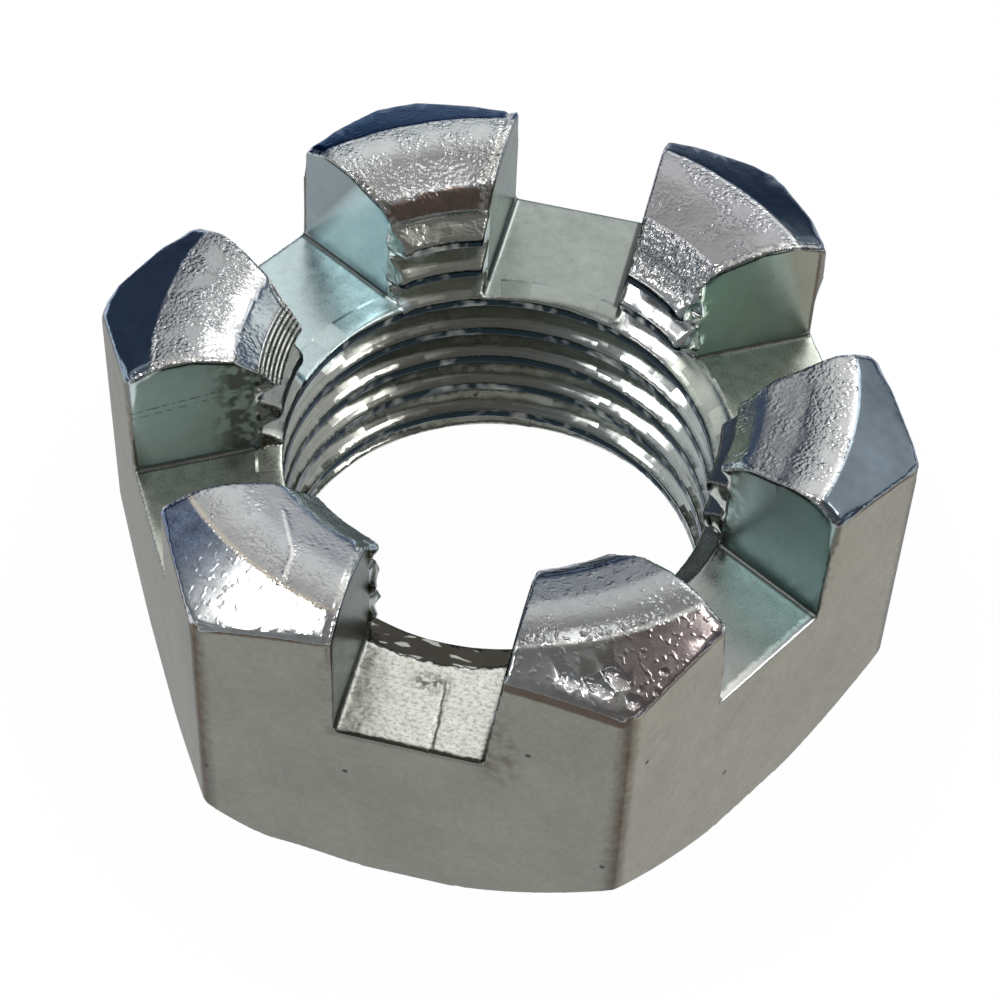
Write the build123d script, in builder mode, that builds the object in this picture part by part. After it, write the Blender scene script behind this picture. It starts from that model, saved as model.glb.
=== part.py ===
from build123d import *
from math import asin, cos, degrees, pi, radians, sin, tan
import os

# Clutch adjusting nut: a thin slotted hexagon nut, formed and milled from one piece of steel.
# Millimetres. The thread axis is Z, the bearing face lies on Z = 0 and the crown of tongues
# points up. Two flats face along Y and two corners lie on X.

# Hexagon
side_count = 6
across_flats = 24.0
corner_radius = 0.3
total_height = 12.6

# Bearing face, whose corners a cone cuts back
bearing_cone_setback = 1.75
bearing_cone_angle = 48.0

# Bore, drawn plain at the crests of its M16 x 1.5 thread, and the lead-in at its lower end
thread_crest_diameter = 14.65
bottom_lead_in_width = 0.85
bottom_lead_in_angle = 45.0

# Crown: an outer cone, a domed top that starts at a ridge, a dished face and the upper lead-in.
# The setbacks of the ridge and of the dome's highest circle are measured from the flats. The dome
# takes up its share of the slope from its highest circle to the lead-in, and the dish the rest.
ridge_setback = 0.55
outer_cone_angle = 24.5
dome_top_setback = 1.3
dome_share = 0.475
dish_angle = 17.5
top_lead_in_width = 1.15
top_lead_in_angle = 45.0

# Slots for the locking pin, milled right across the nut in opposite pairs
ring_height = 8.0
slot_width = 5.1
slot_corner_radius = 0.25

# Radii of the turned form, from the bore outwards
corner_distance = across_flats / 2 / cos(pi / side_count)
bore_radius = thread_crest_diameter / 2
bottom_lead_in_radius = bore_radius + bottom_lead_in_width
top_lead_in_radius = bore_radius + top_lead_in_width
dome_top_radius = across_flats / 2 - dome_top_setback
ridge_radius = across_flats / 2 - ridge_setback
bearing_radius = corner_distance - bearing_cone_setback

# The dome's arc, which runs into the dish without an edge
dish_start_radius = dome_top_radius - dome_share * (dome_top_radius - top_lead_in_radius)
dome_radius = (dome_top_radius - dish_start_radius) / sin(radians(dish_angle))
ridge_angle = degrees(asin((ridge_radius - dome_top_radius) / dome_radius))

# Heights of the turned form
bottom_lead_in_height = bottom_lead_in_width / tan(radians(bottom_lead_in_angle))
bearing_cone_height = bearing_cone_setback * tan(radians(bearing_cone_angle))
ridge_height = total_height - dome_radius * (1 - cos(radians(ridge_angle)))
outer_cone_height = ridge_height - (corner_distance - ridge_radius) * tan(radians(outer_cone_angle))
dish_start_height = total_height - dome_radius * (1 - cos(radians(dish_angle)))
dish_height = dish_start_height - (dish_start_radius - top_lead_in_radius) * tan(radians(dish_angle))
top_lead_in_height = dish_height - top_lead_in_width / tan(radians(top_lead_in_angle))

with BuildPart() as slotted_nut:
    # Hexagon bar with slightly worn corners
    with BuildSketch() as hexagon:
        RegularPolygon(radius=across_flats / 2, side_count=side_count, major_radius=False)
        fillet(hexagon.vertices(), radius=corner_radius)
    extrude(amount=total_height)

    # Turned form: bore, lead-ins, bearing cone and crown
    with BuildSketch(Plane.XZ):
        with BuildLine():
            dome = CenterArc(
                center=(dome_top_radius, total_height - dome_radius),
                radius=dome_radius,
                start_angle=90 - ridge_angle,
                arc_size=ridge_angle + dish_angle,
            )
            Polyline(
                dome @ 1,
                (top_lead_in_radius, dish_height),
                (bore_radius, top_lead_in_height),
                (bore_radius, bottom_lead_in_height),
                (bottom_lead_in_radius, 0),
                (bearing_radius, 0),
                (corner_distance, bearing_cone_height),
                (corner_distance, outer_cone_height),
                dome @ 0,
            )
        make_face()
    revolve(axis=Axis.Z, mode=Mode.INTERSECT)

    # Slots through the middle of the flats, which leave one tongue on each corner
    for pair in range(side_count // 2):
        with BuildSketch(Plane.XZ.rotated((0, 0, pair * 360 / side_count))) as slot:
            with Locations((0, ring_height)):
                Rectangle(slot_width, total_height, align=(Align.CENTER, Align.MIN))
            fillet(slot.vertices().group_by(Axis.Y)[0], radius=slot_corner_radius)
        extrude(amount=across_flats, both=True, mode=Mode.SUBTRACT)

slotted_nut.part.label = "slotted_nut"
os.makedirs("parts", exist_ok=True)
export_step(slotted_nut.part, "parts/slotted_nut.step")
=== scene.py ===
import math

import bmesh
import bpy
from mathutils import Matrix, Vector, noise


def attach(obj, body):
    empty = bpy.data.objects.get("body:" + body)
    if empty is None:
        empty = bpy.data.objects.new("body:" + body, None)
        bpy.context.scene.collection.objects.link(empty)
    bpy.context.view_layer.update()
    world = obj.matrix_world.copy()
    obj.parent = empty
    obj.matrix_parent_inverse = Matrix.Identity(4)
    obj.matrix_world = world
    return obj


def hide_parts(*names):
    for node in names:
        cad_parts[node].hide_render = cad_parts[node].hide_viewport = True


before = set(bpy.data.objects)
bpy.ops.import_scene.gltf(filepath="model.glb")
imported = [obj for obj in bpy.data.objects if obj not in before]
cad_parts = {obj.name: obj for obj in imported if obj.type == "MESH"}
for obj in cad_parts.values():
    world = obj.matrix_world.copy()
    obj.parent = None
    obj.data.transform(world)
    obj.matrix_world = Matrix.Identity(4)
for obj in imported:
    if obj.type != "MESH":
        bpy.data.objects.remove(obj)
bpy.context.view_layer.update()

# The clutch adjusting nut: turned from hexagon bar, tapped M16 x 1.5, slotted and zinc plated.
# Sizes are in millimetres and times MM they are metres. Angles are in degrees, counter-clockwise
# from +X seen from above. Tongues are named by their corner: a 180, b 120, c 60, d 0, e 300, f 240.
MM = 0.001

# Hexagon bar
ACROSS_FLATS = 24.0
CORNER_DISTANCE = ACROSS_FLATS / 2 / math.cos(math.pi / 6)
CORNER_SOFTENING = 0.3
TOTAL_HEIGHT = 12.6

# Turned form: bearing face, bore and crown
BORE_RADIUS = 7.325
CREST_ALLOWANCE = 0.06
BOTTOM_LEAD_IN = 0.85
BEARING_RADIUS = CORNER_DISTANCE - 1.75
BEARING_CONE_ANGLE = 48.0
DOME_TOP_RADIUS = 10.7
DOME_RADIUS = 3.515
DOME_OUTER_ANGLE = 12.3
DISH_ANGLE = 17.5
OUTER_CONE_ANGLE = 24.5
TOP_LEAD_IN = 1.15
LEAD_IN_ANGLE = 45.0
DISH_ROLL_RADIUS = 1.1
OVERSHOOT = 1.2

# Thread
PITCH = 1.5
THREAD_ROOT_RADIUS = 8.05
THREAD_ROOT_FLAT = 0.2
CREST_HEIGHT_AT_57 = 1.40

# Slots
SLOT_FOOT_RADIUS = 0.1

# Surface
VOXEL = 0.08
MOST_TRIANGLES = 190000


def deselect_all():
    if bpy.context.object and bpy.context.object.mode != "OBJECT":
        bpy.ops.object.mode_set(mode="OBJECT")
    bpy.ops.object.select_all(action="DESELECT")


def polar(radius, angle, height=0.0):
    a = math.radians(angle)
    return Vector((radius * math.cos(a), radius * math.sin(a), height)) * MM


def apply_modifier(piece, kind, **values):
    modifier = piece.modifiers.new(kind.title(), kind)
    for name, value in values.items():
        setattr(modifier, name, value)
    bpy.context.view_layer.objects.active = piece
    bpy.ops.object.modifier_apply(modifier=modifier.name)


def cut(piece, tool, operation="DIFFERENCE"):
    """Cut, join or keep what both have in common, and throw the tool away."""
    apply_modifier(piece, "BOOLEAN", object=tool, operation=operation, solver="EXACT")
    bpy.data.objects.remove(tool, do_unlink=True)


def bevel_edges(piece, chosen, offset, segments):
    """Bevel the edges for which chosen says so, from their two ends."""
    bpy.ops.mesh.select_all(action="DESELECT")
    bpy.ops.mesh.select_mode(type="EDGE")
    edit = bmesh.from_edit_mesh(piece.data)
    for edge in edit.edges:
        if chosen(*(vert.co / MM for vert in edge.verts)):
            edge.select_set(True)
    bmesh.update_edit_mesh(piece.data)
    bpy.ops.mesh.bevel(offset=offset * MM, segments=segments, affect="EDGES")
    bpy.ops.object.mode_set(mode="OBJECT")


def outline(name, points):
    """One closed line in the XZ plane, drawn point by point by extruding its end."""
    deselect_all()
    bpy.ops.mesh.primitive_plane_add(size=MM)
    shape = bpy.context.object
    shape.name = name
    bpy.ops.object.mode_set(mode="EDIT")
    bpy.ops.mesh.select_mode(type="VERT")
    bpy.ops.mesh.select_all(action="SELECT")
    bpy.ops.mesh.merge(type="CENTER")
    here = Vector((points[0][0], 0, points[0][1])) * MM
    bpy.ops.transform.translate(value=here)
    for x, z in points[1:] + points[:1]:
        there = Vector((x, 0, z)) * MM
        bpy.ops.mesh.extrude_region_move(TRANSFORM_OT_translate={"value": there - here})
        here = there
    bpy.ops.mesh.select_all(action="SELECT")
    bpy.ops.mesh.remove_doubles(threshold=0.001 * MM)
    return shape


def turned_profile():
    """Half section of the turned form, with its cones carried on past the hexagon's corners."""
    lead_in_radius = BORE_RADIUS + TOP_LEAD_IN
    slope = math.tan(math.radians(OUTER_CONE_ANGLE))
    bearing_slope = math.tan(math.radians(BEARING_CONE_ANGLE))
    dome = []
    steps = 10
    for i in range(steps + 1):
        angle = math.radians(DOME_OUTER_ANGLE - (DOME_OUTER_ANGLE + DISH_ANGLE) * i / steps)
        dome.append((
            DOME_TOP_RADIUS + DOME_RADIUS * math.sin(angle),
            TOTAL_HEIGHT - DOME_RADIUS * (1 - math.cos(angle)),
        ))
    ridge = dome[0]
    dish_start = dome[-1]
    dish_height = dish_start[1] - (dish_start[0] - lead_in_radius) * math.tan(math.radians(DISH_ANGLE))
    outside = CORNER_DISTANCE + OVERSHOOT
    # The dish rolls over into the lead-in
    roll = []
    half = math.radians(LEAD_IN_ANGLE - DISH_ANGLE) / 2
    reach = DISH_ROLL_RADIUS * math.tan(half)
    slope_in = math.radians(DISH_ANGLE)
    start = (lead_in_radius + reach * math.cos(slope_in), dish_height + reach * math.sin(slope_in))
    centre = (
        start[0] + DISH_ROLL_RADIUS * math.sin(slope_in), start[1] - DISH_ROLL_RADIUS * math.cos(slope_in)
    )
    for i in range(steps + 1):
        angle = slope_in + 2 * half * i / steps
        roll.append((
            centre[0] - DISH_ROLL_RADIUS * math.sin(angle), centre[1] + DISH_ROLL_RADIUS * math.cos(angle)
        ))
    return [
        (BORE_RADIUS - CREST_ALLOWANCE, BOTTOM_LEAD_IN + CREST_ALLOWANCE),
        (BORE_RADIUS + BOTTOM_LEAD_IN, 0),
        (BEARING_RADIUS, 0),
        (outside, (outside - BEARING_RADIUS) * bearing_slope),
        (outside, ridge[1] - (outside - ridge[0]) * slope),
        *dome,
        *roll,
        (BORE_RADIUS - CREST_ALLOWANCE, dish_height - TOP_LEAD_IN - CREST_ALLOWANCE),
    ]


def hexagon_bar():
    deselect_all()
    bpy.ops.mesh.primitive_cylinder_add(
        vertices=6,
        radius=CORNER_DISTANCE * MM,
        depth=(TOTAL_HEIGHT + 2 * OVERSHOOT) * MM,
        location=(0, 0, TOTAL_HEIGHT / 2 * MM),
        rotation=(0, 0, math.pi / 6),
    )
    bpy.ops.object.transform_apply(location=True, rotation=True, scale=True)
    bar = bpy.context.object
    bar.name = "slotted_hexagon_nut"
    bpy.ops.object.mode_set(mode="EDIT")
    bevel_edges(bar, lambda a, b: abs(a.z - b.z) > TOTAL_HEIGHT, CORNER_SOFTENING, 4)
    return bar


def turned_form():
    form = outline("turned_form", turned_profile())
    bpy.ops.mesh.select_all(action="SELECT")
    bpy.ops.mesh.spin(steps=144, angle=math.tau, center=(0, 0, 0), axis=(0, 0, 1))
    bpy.ops.mesh.select_all(action="SELECT")
    bpy.ops.mesh.remove_doubles(threshold=0.002 * MM)
    bpy.ops.mesh.normals_make_consistent(inside=False)
    bpy.ops.object.mode_set(mode="OBJECT")
    return form


def slot_cutter(angle, near, far):
    """A milling cutter's path across the nut. At each end of the angle's line: the floor's height,
    then how far the left and the right wall lie from the middle, each at the foot and at the top."""
    deselect_all()
    long = ACROSS_FLATS + 4 * OVERSHOOT
    top = TOTAL_HEIGHT + OVERSHOOT
    bpy.ops.mesh.primitive_cube_add(size=1)
    path = bpy.context.object
    path.name = "slot_path"
    bpy.ops.object.mode_set(mode="EDIT")
    edit = bmesh.from_edit_mesh(path.data)
    for vert in edit.verts:
        forward = vert.co.x > 0
        floor, left_foot, left_top, right_foot, right_top = far if forward else near
        high = vert.co.z > 0
        if vert.co.y > 0:
            across = left_top if high else left_foot
        else:
            across = -(right_top if high else right_foot)
        vert.co = Vector((long / 2 if forward else -long / 2, across, top if high else floor)) * MM
    bevel_edges(
        path, lambda a, b: max(a.z, b.z) < TOTAL_HEIGHT and abs(a.x - b.x) > long / 2, SLOT_FOOT_RADIUS, 2
    )
    path.rotation_euler = (0, 0, math.radians(angle))
    bpy.ops.object.transform_apply(location=False, rotation=True, scale=False)
    return path


def thread_tap():
    """The helical groove between the thread's crests, a little longer than the nut."""
    inner = BORE_RADIUS - 0.35
    depth = THREAD_ROOT_RADIUS - BORE_RADIUS
    flank = depth * math.tan(math.radians(30))
    half_root = THREAD_ROOT_FLAT / 2
    mouth = half_root + flank
    groove_at_zero = CREST_HEIGHT_AT_57 + PITCH / 2 - PITCH * 57 / 360
    start = groove_at_zero - 2 * PITCH
    section = [
        (inner, mouth + 0.02),
        (BORE_RADIUS - 0.02, mouth + 0.02),
        (BORE_RADIUS + 0.05, mouth - 0.035),
        (THREAD_ROOT_RADIUS - 0.02, half_root + 0.015),
        (THREAD_ROOT_RADIUS, half_root - 0.02),
        (THREAD_ROOT_RADIUS, -half_root + 0.02),
        (THREAD_ROOT_RADIUS - 0.02, -half_root - 0.015),
        (BORE_RADIUS + 0.05, -mouth + 0.035),
        (BORE_RADIUS - 0.02, -mouth - 0.02),
        (inner, -mouth - 0.02),
    ]
    tap = outline("thread_tap", [(r, z + start) for r, z in section])
    bpy.ops.object.mode_set(mode="OBJECT")
    turns = math.ceil((TOTAL_HEIGHT - start) / PITCH) + 1
    apply_modifier(
        tap, "SCREW", screw_offset=PITCH * MM, iterations=turns, steps=120, render_steps=120,
        use_normal_calculate=True,
    )
    bpy.ops.object.mode_set(mode="EDIT")
    bpy.ops.mesh.select_all(action="SELECT")
    bpy.ops.mesh.fill_holes(sides=0)
    bpy.ops.mesh.select_all(action="SELECT")
    bpy.ops.mesh.normals_make_consistent(inside=False)
    bpy.ops.object.mode_set(mode="OBJECT")
    return tap


def make_nut():
    nut = hexagon_bar()
    cut(nut, turned_form(), "INTERSECT")
    cut(nut, slot_cutter(90, (7.5, 2.45, 2.5, 2.4, 3.05), (7.92, 2.30, 2.30, 2.54, 3.12)))
    cut(nut, slot_cutter(30, (8.0, 2.45, 2.6, 2.45, 2.6), (8.1, 2.36, 2.42, 2.45, 2.6)))
    cut(nut, slot_cutter(150, (7.9, 2.45, 2.6, 2.45, 2.65), (8.08, 2.45, 2.6, 2.40, 2.55)))
    cut(nut, thread_tap())
    return nut


# ---------------------------------------------------------------- wear and forged relief
def turn_of(place):
    """The angle at which a point lies round the axis, from 0 to 360."""
    return math.degrees(math.atan2(place.y, place.x)) % 360


def near_slot(place):
    """The angle of the slot nearest to a point, and how far the point lies along and across it."""
    angle = round((turn_of(place) - 30) / 60) * 60 + 30
    a = math.radians(angle)
    along = place.x * math.cos(a) + place.y * math.sin(a)
    across = place.y * math.cos(a) - place.x * math.sin(a)
    return angle % 360, along, across


def crest_share(place):
    """1 on the thread's crest line and 0 between two crests."""
    turn = math.degrees(math.atan2(place.y, place.x)) - 57
    level = (place.z - CREST_HEIGHT_AT_57 - PITCH * turn / 360) / PITCH
    return max(0.0, 1 - abs(level - round(level)) * PITCH / 0.42)


def dent(place, spots):
    """Depth of round dents, each with a low lip around it."""
    depth = 0.0
    for x, y, size, deep in spots:
        away = math.hypot(place.x - x, place.y - y) / size
        if away < 1:
            depth += deep * (1 - away * away) ** 2
        elif away < 1.5:
            depth -= deep * 0.25 * (1.5 - away) * 2
    return depth


def line_distance(place, points):
    """Distance in plan from a point to a bent line."""
    least = 99.0
    for (x0, y0), (x1, y1) in zip(points, points[1:]):
        run_x, run_y = x1 - x0, y1 - y0
        share = ((place.x - x0) * run_x + (place.y - y0) * run_y) / (run_x * run_x + run_y * run_y)
        share = min(1.0, max(0.0, share))
        least = min(least, math.hypot(place.x - x0 - share * run_x, place.y - y0 - share * run_y))
    return least


# Chips in the outer cone of tongue e: middle x and y, length, width, direction of the length
CHIPS = (
    (4.83, -11.40, 0.60, 0.34, -10), (5.76, -11.37, 1.00, 0.36, -16), (6.18, -10.93, 0.85, 0.46, -24),
    (6.86, -11.41, 0.34, 0.26, 0),
)
# Small dents: middle x and y, radius, depth
DENTS = ((7.46, -10.91, 0.12, 0.06), (7.50, -10.26, 0.12, 0.06), (6.95, -11.00, 0.12, 0.04))

# A scratch over tongue f
SCRATCH = ((-5.25, -7.59), (-4.82, -8.37), (-4.42, -9.31), (-4.49, -10.38))

# Burrs that the slot cutter left on the thread's ends: slot angle, side of the slot, length
BURRS = {(30, 1): 0.30, (150, -1): 0.22, (210, -1): 0.24, (270, -1): 0.30, (330, 1): 0.20, (90, -1): 0.30}


def crown_height(radius):
    """Height of the turned crown at a radius, and its slope outwards."""
    slope = math.tan(math.radians(DISH_ANGLE))
    ridge = DOME_TOP_RADIUS + DOME_RADIUS * math.sin(math.radians(DOME_OUTER_ANGLE))
    dish_start = DOME_TOP_RADIUS - DOME_RADIUS * math.sin(math.radians(DISH_ANGLE))
    lead_in = BORE_RADIUS + TOP_LEAD_IN

    def dome(at):
        drop = math.sqrt(DOME_RADIUS ** 2 - (at - DOME_TOP_RADIUS) ** 2)
        return TOTAL_HEIGHT - DOME_RADIUS + drop, -(at - DOME_TOP_RADIUS) / drop

    if radius > ridge:
        outer = math.tan(math.radians(OUTER_CONE_ANGLE))
        return dome(ridge)[0] - (radius - ridge) * outer, -outer
    if radius > dish_start:
        return dome(radius)
    dish = dome(dish_start)[0] - (dish_start - max(radius, lead_in)) * slope
    if radius > lead_in:
        return dish, slope
    return dish - (lead_in - radius), 1.0


def chip_depth(place):
    """Depth of the chips below the outer cone: each has a nearly level bed and a steep inner side."""
    radius = math.hypot(place.x, place.y)
    depth = 0.0
    for x, y, length, width, direction in CHIPS:
        a = math.radians(direction)
        dx, dy = place.x - x, place.y - y
        ahead = (dx * math.cos(a) + dy * math.sin(a)) / (length / 2)
        aside = (dy * math.cos(a) - dx * math.sin(a)) / (width / 2)
        away = math.hypot(ahead, aside) + 0.25 * noise.noise(place / 0.2)
        outer_end = math.hypot(x, y) + width / 2
        if away < 1.15:
            bed = crown_height(outer_end)[0] + 0.10 * (outer_end - radius) - 0.04
            depth = max(depth, (crown_height(radius)[0] - bed) * min(1.0, (1.15 - away) / 0.2))
    return depth


def lead_in_relief(place):
    """The lead-in is smooth on tongues a and d and torn elsewhere."""
    turn = turn_of(place)
    if 150 < turn < 210 or turn > 330 or turn < 30:
        return 0.004 * noise.noise(place / 0.9)
    rough = noise.noise(place / 0.35) + 0.5 * noise.noise(place / 0.18)
    return (0.03 if 30 < turn < 90 else 0.015) * rough


def relief(place, up):
    """How far the forged, milled or torn surface stands out at a point, in millimetres."""
    radius = math.hypot(place.x, place.y)
    if place.z > 10.7 and up > 0.35:
        pebble = noise.noise(place / 0.20) + 0.6 * noise.noise(place / 0.11)
        if radius > 11.45:
            return 0.004 * noise.noise(place / 0.9) - dent(place, DENTS) - chip_depth(place)
        if radius < 8.5:
            return lead_in_relief(place)
        rough = 0.5 + 0.5 * noise.noise(place / 1.3 + Vector((7, 3, 1)))
        lump = 0.006 * noise.noise(place / 0.8)
        scratch = 0.0
        if place.y < -7 and place.x < -4:
            scratch = 0.03 * max(0.0, 1 - line_distance(place, SCRATCH) / 0.13)
        return (0.001 + 0.003 * rough) * pebble + lump + scratch
    if up > 0.6 and 7.2 < place.z < 8.8:
        angle, along, across = near_slot(place)
        if angle == 270:
            row = noise.noise(Vector((across / 0.10, along / 0.16, 0)))
            seam = math.exp(-((across - 0.62) / 0.05) ** 2) if along > 9.2 else 0.0
            return 0.012 * row + 0.008 * noise.noise(place / 0.45) - 0.05 * seam
        return 0.003 * noise.noise(place / 0.25) + 0.008 * noise.noise(place / 1.1)
    if radius < 8.2:
        return 0.006 * noise.noise(place / 0.6) + 0.004 * noise.noise(place / 0.2)
    if place.z > 7.6 and abs(up) < 0.5 and radius < 11.9:
        return 0.006 * noise.noise(place / 1.4) + 0.0015 * noise.noise(place / 0.2)
    return 0.0


def burr(place):
    """Sideways shift of the thread's ends where they stand out over a slot's wall."""
    radius = math.hypot(place.x, place.y)
    if radius > 8.2 or place.z < 7.6 or place.z > 12:
        return None
    angle, along, across = near_slot(place)
    side = 1 if across > 0 else -1
    length = BURRS.get((angle, side))
    depth = abs(across) - 2.42
    if not length or depth < -0.05 or depth > 0.3:
        return None
    ragged = 0.55 + 0.9 * noise.noise(place / 0.45 + Vector((angle, 0, 0)))
    shift = length * (1 - max(0.0, depth) / 0.3) * crest_share(place) * max(0.0, ragged)
    a = math.radians(angle)
    return Vector((math.sin(a), -math.cos(a), 0)) * side * shift + Vector((0, 0, -0.3 * shift))


def torn_edge(place):
    """The front slot's floor breaks away towards the thread."""
    angle, along, across = near_slot(place)
    if angle != 270 or abs(across) > 2.6 or place.z < 6.85 or place.z > 7.7:
        return None
    edge = 8.62 + 0.12 * noise.noise(Vector((across / 0.35, 0, 0))) - 0.28 * max(0.0, across / 2.4) ** 2
    radius = math.hypot(place.x, place.y)
    if radius > edge:
        return None
    ragged = 0.10 * noise.noise(Vector((across / 0.22, along / 0.3, 5)))
    low = 7.5 - (edge - radius) * 1.5 + ragged
    return Vector((0, 0, min(0.0, max(low, 6.85) - place.z)))


# How far the corners are rounded, by slot angle and side of the slot, and by tongue
SLOT_CORNERS = {
    (270, -1): 0.18, (270, 1): 0.15, (330, -1): 0.25, (330, 1): 0.35, (30, -1): 0.35, (30, 1): 0.40,
    (90, -1): 0.35, (90, 1): 0.28, (150, -1): 0.32, (150, 1): 0.50, (210, -1): 0.38, (210, 1): 0.20,
}
TONGUE_CORNERS = {0: 0.22, 60: 0.35, 120: 0.50, 180: 0.45, 240: 0.28, 300: 0.32}
# The walls that lean back most, in millimetres for each millimetre of height
LEANING_WALLS = {(90, -1): 0.10, (270, 1): 0.10}


def fading(away, near, far):
    """1 up to the near distance, 0 from the far one on, and soft between them."""
    share = min(1.0, max(0.0, (far - away) / (far - near)))
    return share * share * (3 - 2 * share)


def worn_away(place):
    """How far a point moves inwards where the edges at the crown's corners are rounded."""
    angle, along, across = near_slot(place)
    side = 1 if across > 0 else -1
    radius = math.hypot(place.x, place.y)
    tongue = (angle + 30 * side) % 360
    slot_away = math.sqrt((along - 12) ** 2 + (abs(across) - 2.55) ** 2 + (place.z - 12.2) ** 2)
    inner_away = math.sqrt((radius - 8.2) ** 2 + (abs(across) - 2.5) ** 2 + (place.z - 11.8) ** 2)
    tip_away = math.sqrt(
        (radius - CORNER_DISTANCE) ** 2 + (2 * (abs(across) - 6.93)) ** 2 + (place.z - 11.5) ** 2
    )
    size = 0.10
    size = max(size, SLOT_CORNERS[(angle, side)] * fading(slot_away, 0.6, 2.0))
    size = max(size, TONGUE_CORNERS[tongue] * fading(tip_away, 0.6, 2.4))
    size = max(size, 0.30 * fading(inner_away, 0.3, 1.0))
    a = math.radians(angle)
    b = math.radians(angle + 60 * side)
    outwards = Vector((math.cos(a), math.sin(a), 0))
    next_flat = Vector((math.cos(b), math.sin(b), 0))
    into_slot = Vector((math.sin(a), -math.cos(a), 0)) * side
    height, slope = crown_height(radius)
    upwards = Vector((-slope * place.x / radius, -slope * place.y / radius, 1)).normalized()
    wall = 2.48 + LEANING_WALLS.get((angle, side), 0.03) * (place.z - 8)
    sides = (
        (along - 12, outwards), (place.dot(next_flat) - 12, next_flat), (wall - abs(across), into_slot),
        ((place.z - height) * upwards.z, upwards),
    )
    push = Vector()
    deepest = 0.0
    for distance, normal in sides:
        reach = max(0.0, distance + size)
        push += normal * reach
        deepest = max(deepest, reach)
    total = math.sqrt(sum(max(0.0, distance + size) ** 2 for distance, normal in sides))
    if push.length == 0:
        return push
    return push * ((deepest - total) * total / push.length_squared)


# How much each tongue's crown stands above the turned form: inner part, outer part
LIFTS = {
    0: (0.03, 0.36), 60: (0.09, 0.14), 120: (0.0, 0.03), 180: (0.20, 0.16), 240: (0.10, 0.0),
    300: (0.28, 0.04),
}


def warped(place):
    """Small departures of the real nut from the turned form: its crown's height, and a fuller
    bearing cone below tongue f."""
    tongue = round(turn_of(place) / 60) * 60 % 360
    radius = math.hypot(place.x, place.y)
    if place.z > 9.5:
        inner, outer = LIFTS[tongue]
        share = min(1.0, max(0.0, (radius - 9.8) / 1.8))
        lift = (inner + (outer - inner) * share) * min(1.0, (place.z - 9.5) / 2.0)
        if tongue == 180:
            # Tongue a's lead-in starts further out than the others'
            lift = min(lift, 12.27 - 0.95 * (8.72 - radius) - place.z) if radius < 8.72 else lift
        angle, along, across = near_slot(place)
        if angle == 30 and across > 2.0:
            # Tongue c's right-hand flat is pushed out towards the top
            out = fading(12.0 - place.z, 0.6, 2.5) * fading(across, 3.2, 6.4)
            out *= fading(12.0 - along, 0.05, 1.2)
            return Vector((0.21 * out, 0.12 * out, lift))
        return Vector((0, 0, lift))
    edge = (radius - BEARING_RADIUS) * math.tan(math.radians(BEARING_CONE_ANGLE))
    if tongue == 240 and radius > 11.8 and place.z < edge + 1.2:
        turn = turn_of(place)
        fuller = 0.42 * math.exp(-((turn - 246) / 8) ** 2) * min(1.0, place.z / 0.9)
        return Vector((0, 0, -fuller * min(1.0, (edge + 1.2 - place.z) / 1.0)))
    return Vector()


def finish_surface(nut):
    """Break every edge a little, as tumbling and plating do, and give the forged faces relief."""
    apply_modifier(nut, "REMESH", mode="VOXEL", voxel_size=VOXEL * MM, use_smooth_shade=True)
    apply_modifier(nut, "SMOOTH", factor=0.5, iterations=3)
    moved = {}
    for vertex in nut.data.vertices:
        place = vertex.co / MM
        shift = vertex.normal * relief(place, vertex.normal.z) + warped(place)
        if place.z > 10.8:
            shift = shift + worn_away(place)
        for change in (burr(place), torn_edge(place)):
            if change:
                shift = shift + change
        if shift.length_squared > 0:
            moved[vertex.index] = shift * MM
    for index, shift in moved.items():
        nut.data.vertices[index].co += shift
    nut.data.update()
    nut.data.calc_loop_triangles()
    apply_modifier(nut, "DECIMATE", ratio=MOST_TRIANGLES / len(nut.data.loop_triangles))
    deselect_all()
    nut.select_set(True)
    bpy.context.view_layer.objects.active = nut
    bpy.ops.object.shade_smooth()


# ---------------------------------------------------------------- shader helpers
# Steps of a colour ramp's 256 that one sixth of a turn takes
SECTOR_STEPS = 42


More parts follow.
